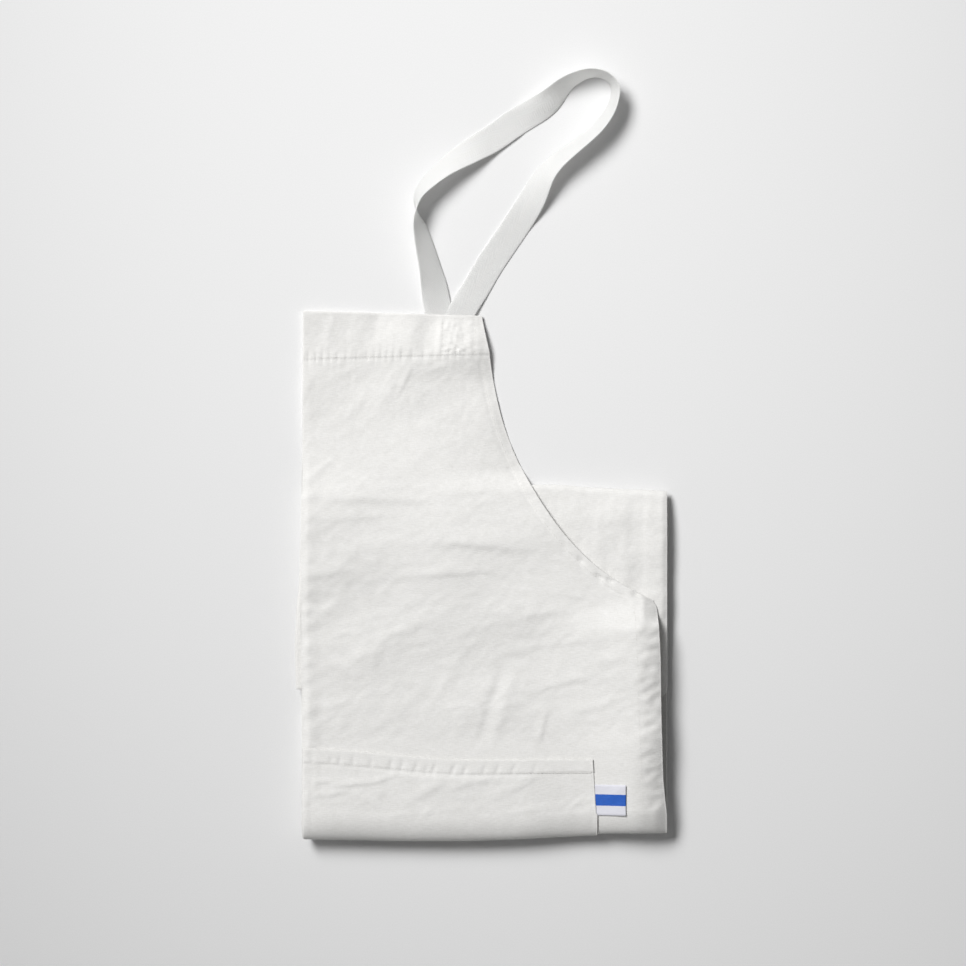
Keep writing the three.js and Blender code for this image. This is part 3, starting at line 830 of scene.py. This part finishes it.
def pocket(material):
    """The patch pocket: one skin over the front, round the bottom fold and up the back."""
    share = np.linspace(0, 1, POCKET_ROWS)[1:]
    start = np.r_[POCKET_RETURN, 0 * HALF_TURN, share]
    angles = np.linspace(0, np.pi, POCKET_BEND_ROWS)[1:-1]
    back = np.r_[np.linspace(BEND_START, POCKET_END, POCKET_BACK_ROWS), POCKET_END]
    front = len(start)
    rest = np.zeros(len(angles) + len(back))
    kind = np.repeat([FRONT, BOTTOM_BEND, BACK], [front, len(angles), len(back)])[:, None]
    beyond = np.r_[0, 0, WALL / 2 * np.cos(HALF_TURN), 0 * share, rest][:, None]
    sunk = np.r_[-WALL, -WALL, EDGE_DEPTH, 0 * share, rest][:, None]
    sunk[-1] = -WALL
    right = pocket_right(np.r_[lerp(POCKET_TOP, BEND_START, start), rest])
    x, upper, depth = pair_columns(0 * right, right, *POCKET_COLUMNS, FOLD_REACH)
    s = np.zeros_like(x)
    s[:front] = lerp(mouth(x[:front]), BEND_START, start[:, None])
    s[front:] = np.r_[angles, back][:, None]
    kind = kind + 0 * x
    y, z, ny, nz, half, proud = pair_at(kind, s, x)
    own = np.where(kind == FRONT, pocket_relief(x, s), 0.0)
    bend = kind == BOTTOM_BEND
    own[bend] = pocket_relief(x[bend], BEND_START) * np.clip(np.cos(s[bend]), 0, 1) ** 2
    reach = (half + POCKET_ROOM + np.maximum(depth + sunk, -WALL)) * upper
    reach = reach + (np.maximum(own, POCKET_LEAST) + POCKET_FOLLOWS * proud) * np.maximum(upper, 0)
    points = np.stack([x, y + reach * ny + beyond, z + reach * nz], axis=-1)
    lifted = raised(points, under_share(kind, s))
    return surface("pocket_cloth", lifted, along_and_across(points), material)


# Neck tape
TAPE_WIDE = 25
TAPE_THICK = 1.0
TAPE_CLEAR = 0.15
REAR_LIFT = 1.35
FRONT_LIFT = 2.65
SELVEDGE_STEP = 2.1  # the weft's turns along each edge
SELVEDGE_DEEP = 0.28
SELVEDGE_START = 0.95
TAPE_INSET = 0.53  # the section's edges, without the selvedge
TAPE_ROUND = 0.04  # of half the width, at each edge
TAPE_COLUMNS = 13
TAPE_STEP = 0.5
SPLINE_STEPS = 24
EASE_REACH = 9

# The tape's route from its rear end to its front end. Columns: x, y,
# roll in degrees of the edge on the left of the way, lift of the lower edge from the table
TAPE_ROUTE = np.array([
    [131, 432, -180, REAR_LIFT],
    [125.5, 450, -180, REAR_LIFT],
    [120, 471, -178, REAR_LIFT],
    [117, 489, -164, 0.6],
    [113.5, 506, -144, 0],
    [104.5, 542, -120, 0],
    [101, 558, -90, 0],
    [104.5, 575, -66, 0],
    [126.5, 596.5, -46, 0],
    [152, 613, -20, 0],
    [169, 623, -5, 0],
    [192, 639, 0, 0],
    [217, 654, 28, 0],
    [234.5, 671, 60, 0],
    [254, 680, 76, 0],
    [269.5, 678, 80, 0],
    [277, 670, 78, 0],
    [278, 661, 74, 0],
    [272.5, 645.5, 69, 0],
    [260.5, 630, 65, 0],
    [240, 613, 60, 0],
    [225, 601, 52, 0],
    [214, 588, 40, 0],
    [203.5, 567.5, 15, 0],
    [190.5, 546.5, 0, 0],
    [167.5, 512.5, 0, 0],
    [154.5, 490.5, 0, 0.5],
    [141.5, 469, 0, FRONT_LIFT],
    [135.5, 448, 0, FRONT_LIFT],
    [131, 432, 0, FRONT_LIFT],
])


def spline(rows, step):
    """A Catmull-Rom curve through rows, resampled every step of its length in x and y, and eased a little.

    The ease is a mean over a short length, weighted by a bell."""
    padded = np.concatenate([2 * rows[:1] - rows[1:2], rows, 2 * rows[-1:] - rows[-2:-1]])
    t = np.linspace(0, 1, SPLINE_STEPS, endpoint=False)[None, :, None]
    a, b, c, d = (padded[k:len(padded) - 3 + k, None, :] for k in range(4))
    square = (2 * a - 5 * b + 4 * c - d) * t ** 2
    cube = (3 * b - a - 3 * c + d) * t ** 3
    curve = 0.5 * (2 * b + (c - a) * t + square + cube)
    curve = np.concatenate([curve.reshape(-1, rows.shape[1]), rows[-1:]])
    way = np.r_[0, np.cumsum(np.hypot(*np.diff(curve[:, :2], axis=0).T))]
    at = np.linspace(0, way[-1], int(way[-1] / step) + 1)
    even = np.stack([np.interp(at, way, column) for column in curve.T], axis=1)
    reach = int(EASE_REACH / step)
    weights = np.exp(-np.linspace(-2, 2, 2 * reach + 1) ** 2)
    weights /= weights.sum()
    wide = np.pad(even, ((reach, reach), (0, 0)), mode="reflect", reflect_type="odd")
    return at, np.stack([np.convolve(column, weights, mode="valid") for column in wide.T], axis=1)


def tape(material):
    """Herringbone tape: a thin rounded section carried along the route, rolled about it.

    Its middle is half its height over the lift, where the height is that of the rolled section."""
    at, line = spline(TAPE_ROUTE, TAPE_STEP)
    way = np.gradient(line[:, :2], axis=0)
    way /= np.linalg.norm(way, axis=1)[:, None]
    left = np.stack([-way[:, 1], way[:, 0], 0 * at], axis=1)
    roll = np.radians(line[:, 2])[:, None]
    up = np.array([[0, 0, 1.0]])
    wide = np.cos(roll) * left + np.sin(roll) * up
    out = -np.sin(roll) * left + np.cos(roll) * up
    lift = np.maximum(line[:, 3], 0)
    height = (TAPE_WIDE * np.abs(np.sin(roll[:, 0])) + TAPE_THICK * np.abs(np.cos(roll[:, 0]))) / 2 + lift
    centre = np.stack([line[:, 0], line[:, 1], height + TAPE_CLEAR], axis=1)

    turn = HALF_TURN[::-1]
    face = np.linspace(1, -1, TAPE_COLUMNS)[1:-1]
    edge = 1 + TAPE_ROUND * np.cos(turn) - TAPE_ROUND / 2
    across = np.r_[face[::-1], edge, face, -edge[::-1]]
    deep = 0.5 * np.r_[1 + 0 * face, np.sin(turn), -1 + 0 * face, np.sin(turn[::-1])]
    teeth = SELVEDGE_DEEP * np.cos(2 * np.pi * at / SELVEDGE_STEP)[:, None]
    teeth = teeth * np.sign(across) * (np.abs(across) > SELVEDGE_START)
    spread_mm = across * (TAPE_WIDE / 2 - TAPE_INSET) + teeth
    points = centre[:, None] + spread_mm[..., None] * wide[:, None]
    points = points + TAPE_THICK * deep[None, :, None] * out[:, None]
    flat = np.stack([spread_mm + 0 * at[:, None], at[:, None] + 0 * spread_mm], axis=-1) * MM
    return surface("neck_tape", points, flat, material, closed=True)


# Label tab
TAB_RIGHT = 285.7
TAB_LOW = 22.3
TAB_HIGH = 49.3
TAB_THICK = 1.0
TAB_LIFT = 0.7
TAB_CLEAR = 0.35
TAB_GAP = 0.2
TAB_CUP = 0.25  # the ends of its fold stand higher than the middle, as a share of the lift
TAB_ROUND = 0.02  # of its length and its width, at the edges
TAB_DENTS = (0.12, 14, 14, 61)
TAB_STEPS = 30
TAB_TURN_STEPS = 9


def label(material):
    """The folded ribbon in the pocket's side seam: a rounded loop that stands a little proud at its fold.

    It lifts with the square of the way out. Quarter circles round its upper and lower edges."""
    share = np.linspace(0, 1, TAB_STEPS)
    turn = np.radians(np.linspace(90, -90, TAB_TURN_STEPS))[1:-1]
    x_share = np.r_[share, 1 + TAB_ROUND * np.cos(turn), share[::-1]]
    side = np.r_[1 + 0 * share, 0.5 + 0.5 * np.sin(turn), 0 * share]
    rows = np.linspace(0, 1, TAB_STEPS)[:, None]
    y = lerp(TAB_HIGH, TAB_LOW, rows) + 0 * x_share
    x = lerp(pocket_right(y) + TAB_GAP, TAB_RIGHT, x_share)
    lift = TAB_LIFT * np.clip(x_share, 0, 1) ** 2 * (1 + TAB_CUP * np.cos(rows * 2 * np.pi))
    rim = np.clip(np.minimum(rows, 1 - rows) / TAB_ROUND, 0, 1)
    body = TAB_THICK * np.sqrt(np.clip(1 - (1 - rim) ** 2, 0, 1))
    base = front_base(y) + PAIR + TAB_CLEAR
    z = base + lift + wavy(x, y, TAB_DENTS) + TAB_THICK / 2 + body * (side - 0.5)
    flat = np.stack([x - TAB_RIGHT, y - TAB_LOW], axis=-1) * MM
    return surface("label_tab_ribbon", raised(np.stack([x, y, z], axis=-1)), flat, material)


# Seams. Columns: start and end, in x for the hems and else in y, and points between
TOP_SEAM = (4, 160, 80)
ARM_SEAM = (BIB_HEM_END - 4, UNDERARM + 6, 120)
SIDE_SEAM = (UNDERARM - 3, 30, 60)
POCKET_HEM_SEAM = (3, POCKET_EDGE_TOP - 2, 120)
POCKET_SIDE_SEAM = (POCKET_TOP - 2, BEND_START, 40)


def stitch_path(points, height):
    """The ends and middles of stitches along a line in plan, a step apart and set on the cloth."""
    way = np.r_[0, np.cumsum(np.linalg.norm(np.diff(points, axis=0), axis=1))]
    at = np.arange(STITCH_STEP / 2, way[-1], STITCH_STEP)
    ends = []
    for shift in (-STITCH_LONG / 2, 0, STITCH_LONG / 2):
        x = np.interp(at + shift, way, points[:, 0])
        y = np.interp(at + shift, way, points[:, 1])
        ends.append(np.stack([x, y, height(x, y)], axis=1))
    return ends


def stitches(name, lines, height, material):
    """Thread in short stitches: each a spindle of six sides that dips into the cloth at both ends.

    Its spine is the straight line between its ends, bowed by a parabola to its middle."""
    paths = [stitch_path(line, height) for line in lines]
    first, middle, last = (np.concatenate(parts) for parts in zip(*paths))
    sink = np.array([0, 0, STITCH_THICK * STITCH_SINK])
    first = first - sink
    last = last - sink
    middle = middle + sink * STITCH_BOW
    way = last - first
    way /= np.linalg.norm(way, axis=1)[:, None]
    aside = np.cross(np.array([0, 0, 1.0]), way)
    aside /= np.linalg.norm(aside, axis=1)[:, None]
    up = np.cross(way, aside)
    t = np.linspace(0, 1, len(STITCH_TAPER))[None, :, None]
    spine = first[:, None] * (1 - t) + last[:, None] * t
    spine = spine + 4 * t * (1 - t) * (middle - (first + last) / 2)[:, None]
    turn = np.linspace(0, 2 * np.pi, STITCH_SIDES, endpoint=False)[None, None, :, None]
    ring = np.cos(turn) * aside[:, None, None] + np.sin(turn) * up[:, None, None]
    thick = STITCH_THICK / 2 * STITCH_TAPER
    points = spine[:, :, None] + thick[None, :, None, None] * ring
    flat = np.stack([t + 0 * points[..., 0], turn[..., 0] + 0 * points[..., 0]], axis=-1) * MM
    return surface(name, raised(points), flat, material, closed=True)


def front_height(x, y):
    """The front's face at a place, found from the row that passes through it."""
    s = y.copy()
    for _ in range(4):
        s = y - row_shift(x, s)
    return front_top(x, y, s)


def pocket_height(x, y):
    """The pocket's face at a place: the front's base, both its layers, the pocket's relief and the bulge."""
    face = front_base(y) + PAIR + POCKET_ROOM
    return face + np.maximum(pocket_relief(x, y), POCKET_LEAST) + bottom_puff(x, y)


def panel_stitches(material):
    """Seams of the panel: top hem, armhole hem, side hem, and the box that holds the tape."""
    x = np.linspace(*TOP_SEAM)
    s_top = BIB_HEM_END + HEM_SEAM_IN + 0 * x
    top = np.stack([x, s_top + row_shift(x, s_top)], axis=1)
    s_arm = np.linspace(*ARM_SEAM)
    in_from_edge = (ARMHOLE_HEM - EDGE_SEAM_IN) * np.hypot(1, front_slope(s_arm))
    arm = np.stack([front_right(s_arm) - in_from_edge, s_arm], axis=1)
    s_side = np.linspace(*SIDE_SEAM)
    side = np.stack([front_right(s_side) - SIDE_HEM + EDGE_SEAM_IN, s_side], axis=1)
    return stitches("panel_stitches", [top, arm, side, TAPE_BOX], front_height, material)


def pocket_stitches(material):
    """Seams of the pocket: along its hem and down its side."""
    x = np.linspace(*POCKET_HEM_SEAM)
    hem = np.stack([x, mouth(x) - POCKET_HEM + POCKET_SEAM_IN], axis=1)
    y = np.linspace(*POCKET_SIDE_SEAM)
    side = np.stack([pocket_right(y) - POCKET_SIDE_IN, y], axis=1)
    return stitches("pocket_stitches", [hem, side], pocket_height, material)


def linear(hex_colour):
    """An sRGB hex colour as linear numbers."""
    parts = [int(hex_colour[k:k + 2], 16) / 255 for k in (1, 3, 5)]
    return [p / 12.92 if p <= 0.04045 else ((p + 0.055) / 1.055) ** 2.4 for p in parts] + [1.0]


def add(tree, kind, inputs, out=0, **settings):
    """Adds a node with its settings, sets or links its inputs, and gives one of its outputs."""
    made = tree.nodes.new("ShaderNode" + kind)
    for key, value in settings.items():
        setattr(made, key, value)
    for key, value in inputs.items():
        if isinstance(value, bpy.types.NodeSocket):
            tree.links.new(value, made.inputs[key])
        else:
            made.inputs[key].default_value = value
    return made.outputs[out]


def finish_shader(name, build, sockets, bump=None, glow=0.0):
    """A material, from a function that gives the mix of its colours and its height.

    bump is the height's strength and size in metres, and glow the share of light let through."""
    material = bpy.data.materials.new(name)
    material.use_nodes = True
    tree = material.node_tree
    tree.nodes.clear()
    places = add(tree, "UVMap", {}, uv_map="cloth")
    colours, height = build(tree, places)
    colour = add(tree, "Mix", colours, 2, data_type="RGBA")
    linked = {"Base Color": colour}
    if bump:
        strength, size = bump
        linked["Normal"] = add(tree, "Bump", {"Strength": strength, "Distance": size, "Height": height})
    surface_out = add(tree, "BsdfPrincipled", {**linked, **sockets})
    if glow:
        through = add(tree, "BsdfTranslucent", {"Color": colour, "Normal": linked["Normal"]})
        surface_out = add(tree, "MixShader", {0: glow, 1: surface_out, 2: through})
    output = tree.nodes.new("ShaderNodeOutputMaterial")
    tree.links.new(surface_out, output.inputs["Surface"])
    return material


def threads(tree, places, wide, tall, detail=2.0):
    """Noise drawn out to threads: wide by tall is the size of one patch, in millimetres."""
    scaled = add(tree, "Mapping", {"Vector": places, "Scale": (1 / MM / wide, 1 / MM / tall, 1)})
    noise = {"Vector": scaled, "Scale": 1.0, "Detail": detail, "Roughness": 0.55}
    return add(tree, "TexNoise", noise)


# Washed linen in a plain weave is matt and a little fuzzy, with slubs: thick threads, mostly across.
# Its threads are 0.4 mm apart, too fine to show, so the slubs are drawn about twice as wide.
SLUB_ACROSS = (5, 0.8)
SLUB_ALONG = (0.8, 4)
CRINKLE = (5, 2.2)
BLOTCH = (14, 10)


def linen(name, light, dark):
    """Linen: the tone between dark and light is slubs plus soft blotches, the bump slubs plus crinkles."""
    def build(tree, places):
        across = threads(tree, places, *SLUB_ACROSS)
        weft = add(tree, "Math", {0: across, 1: 0.65}, operation="MULTIPLY")
        warp = threads(tree, places, *SLUB_ALONG)
        weave = add(tree, "Math", {0: warp, 1: 0.35, 2: weft}, operation="MULTIPLY_ADD")
        crinkle = threads(tree, places, *CRINKLE, 3.0)
        blotch = threads(tree, places, *BLOTCH)
        slub = add(tree, "MapRange", {"Value": weave, "From Min": 0.36, "From Max": 0.64, "To Max": 0.7})
        soft = add(tree, "MapRange", {"Value": blotch, "From Min": 0.3, "From Max": 0.7, "To Max": 0.3})
        tone = add(tree, "Math", {0: slub, 1: soft}, operation="ADD")
        height = add(tree, "Math", {0: crinkle, 1: 0.8, 2: weave}, operation="MULTIPLY_ADD")
        return {0: tone, 6: linear(dark), 7: linear(light)}, height

    sockets = {"Roughness": 0.92, "Specular IOR Level": 0.25, "Sheen Weight": 0.12, "Sheen Roughness": 0.6}
    return finish_shader(name, build, sockets, (0.4, 0.0006))


# Cotton herringbone tape is matt twill, and thin enough to glow with the light behind it.
# Its ribs slant one way on each quarter of its width, about one rib to each turn of the weft.
RIB_STEP = 0.0021
RIB_SLANT = 1.1
QUARTER = TAPE_WIDE * MM / 4
TAPE_FUZZ = (1.6, 1.6)
TAPE_GLOW = 0.44


def herringbone(name, light, dark):
    """Tape: ribs are a sine of the way along plus a zigzag of the way across. Fuzz adds to their tone."""
    def build(tree, places):
        across = add(tree, "SeparateXYZ", {0: places}, 0)
        along = add(tree, "SeparateXYZ", {0: places}, 1)
        zigzag = add(tree, "Math", {0: across, 1: QUARTER}, operation="PINGPONG")
        slant = add(tree, "Math", {0: zigzag, 1: RIB_SLANT, 2: along}, operation="MULTIPLY_ADD")
        turns = add(tree, "Math", {0: slant, 1: 2 * np.pi / RIB_STEP}, operation="MULTIPLY")
        wave = add(tree, "Math", {0: turns}, operation="SINE")
        rib = add(tree, "MapRange", {"Value": wave, "From Min": -1, "From Max": 1, "To Max": 0.6})
        fuzz = threads(tree, places, *TAPE_FUZZ, 3.0)
        tone = add(tree, "Math", {0: fuzz, 1: 0.4, 2: rib}, operation="MULTIPLY_ADD")
        return {0: tone, 6: linear(dark), 7: linear(light)}, tone

    sockets = {"Roughness": 0.88, "Specular IOR Level": 0.25, "Sheen Weight": 0.1}
    return finish_shader(name, build, sockets, (0.5, 0.0004), TAPE_GLOW)


# Woven satin ribbon is smooth and cool white, with one plain blue band along it.
RIBBON_THREAD = (4, 0.9)
BAND = (0.0085, 0.0185)


def ribbon(name):
    """Ribbon: threads tint its white ground and the blue band, which lies between two heights."""
    def build(tree, places):
        along = add(tree, "SeparateXYZ", {0: places}, 1)
        thread = threads(tree, places, *RIBBON_THREAD)
        low = add(tree, "Math", {0: along, 1: BAND[0]}, operation="GREATER_THAN")
        high = add(tree, "Math", {0: along, 1: BAND[1]}, operation="LESS_THAN")
        inside = add(tree, "Math", {0: low, 1: high}, operation="MULTIPLY")
        whites = {0: thread, 6: linear("#d2d2db"), 7: linear("#e0e0e7")}
        white = add(tree, "Mix", whites, 2, data_type="RGBA")
        blues = {0: thread, 6: linear("#0047a4"), 7: linear("#0560c8")}
        blue = add(tree, "Mix", blues, 2, data_type="RGBA")
        return {0: inside, 6: white, 7: blue}, thread

    return finish_shader(name, build, {"Roughness": 0.6, "Sheen Weight": 0.1}, (0.4, 0.0003))


def white_board(name):
    """The table: a matt white board with a faint grain of noise, about a millimetre across."""
    def build(tree, _):
        places = add(tree, "TexCoord", {}, "Object")
        grain = add(tree, "TexNoise", {"Vector": places, "Scale": 900.0, "Detail": 2.0})
        return {0: grain, 6: linear("#e0e0e0"), 7: linear("#e8e8e8")}, None

    return finish_shader(name, build, {"Roughness": 0.9, "Specular IOR Level": 0.1})


LINEN_LIGHT = "#e9e8e6"
LINEN_DARK = "#dbdad7"
LINEN = linen("washed_white_linen", LINEN_LIGHT, LINEN_DARK)
POCKET_LINEN = linen("washed_white_linen_pocket", LINEN_LIGHT, LINEN_DARK)
TAPE_COTTON = herringbone("white_herringbone_cotton", "#fbfbfa", "#f2f2f1")
LABEL_RIBBON = ribbon("woven_label_ribbon")
THREAD = linen("white_sewing_thread", "#ecebe8", "#dedcd8")

panel_cloth = panel(LINEN)
pocket_cloth = pocket(POCKET_LINEN)
neck_tape = tape(TAPE_COTTON)
label_tab = label(LABEL_RIBBON)
panel_seams = panel_stitches(THREAD)
pocket_seams = pocket_stitches(THREAD)

PIECES = [
    (panel_cloth, "linen"),
    (pocket_cloth, "linen"),
    (neck_tape, "cotton_tape"),
    (label_tab, "label"),
    (panel_seams, "linen"),
    (pocket_seams, "linen"),
]
for piece, slot in PIECES:
    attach(piece, "root")
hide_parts("apron_panel")
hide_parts("pocket")
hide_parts("neck_strap")
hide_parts("label_tab")

# Table
TABLE_HALF = 4.0
CORNERS = [(-1, -1), (1, -1), (1, 1), (-1, 1)]
table_mesh = bpy.data.meshes.new("table_top")
table_mesh.from_pydata([(x * TABLE_HALF, y * TABLE_HALF, 0) for x, y in CORNERS], [], [(0, 1, 2, 3)])
table_mesh.materials.append(white_board("matt_white_board"))
table = bpy.data.objects.new("table_top", table_mesh)
bpy.context.scene.collection.objects.link(table)

# Light: one soft lamp from the upper left, and a dim even room
KEY_PLACE = (-1.53, 1.95, 2.9)
KEY_AIM = (0.08, 0.39, 0)
KEY_SIZE = (1.4, 3.0)
KEY_POWER = 17.7
KEY_SPREAD = 44
ROOM_LIGHT = 0.16


def lamp(name, place, aim, size, power, spread):
    """An oval soft light at a place, facing a point, with its two sizes and its spread in degrees."""
    data = bpy.data.lights.new(name, "AREA")
    data.shape = "ELLIPSE"
    data.size, data.size_y = size
    data.energy = power
    data.spread = np.radians(spread)
    light = bpy.data.objects.new(name, data)
    light.location = place
    down = (Vector(aim) - Vector(place)).normalized()
    across = down.cross(Vector((0, -1, 0))).normalized()
    light.rotation_euler = Matrix((across, across.cross(down), -down)).transposed().to_euler()
    bpy.context.scene.collection.objects.link(light)


lamp("key", KEY_PLACE, KEY_AIM, KEY_SIZE, KEY_POWER, KEY_SPREAD)
world = bpy.data.worlds.new("soft_room")
bpy.context.scene.world = world
world.use_nodes = True
world.node_tree.nodes["Background"].inputs["Color"].default_value = (1, 1, 1, 1)
world.node_tree.nodes["Background"].inputs["Strength"].default_value = ROOM_LIGHT

# Camera, straight above. Its height puts the picture's width at a level in the stack.
PICTURE_WIDE = 0.8597
PICTURE_LEVEL = 0.006
CAMERA_OVER = (0.0012, -0.0233)
SENSOR = 36.0
LENS = 135.0
FARTHEST = 20
camera_data = bpy.data.cameras.new("camera")
camera_data.sensor_width = SENSOR
camera_data.lens = LENS
camera_data.clip_end = FARTHEST
camera = bpy.data.objects.new("camera", camera_data)
camera.location = (*CAMERA_OVER, PICTURE_WIDE * LENS / SENSOR + PICTURE_LEVEL)
bpy.context.scene.collection.objects.link(camera)
bpy.context.scene.camera = camera
bpy.context.scene.view_settings.view_transform = "Standard"
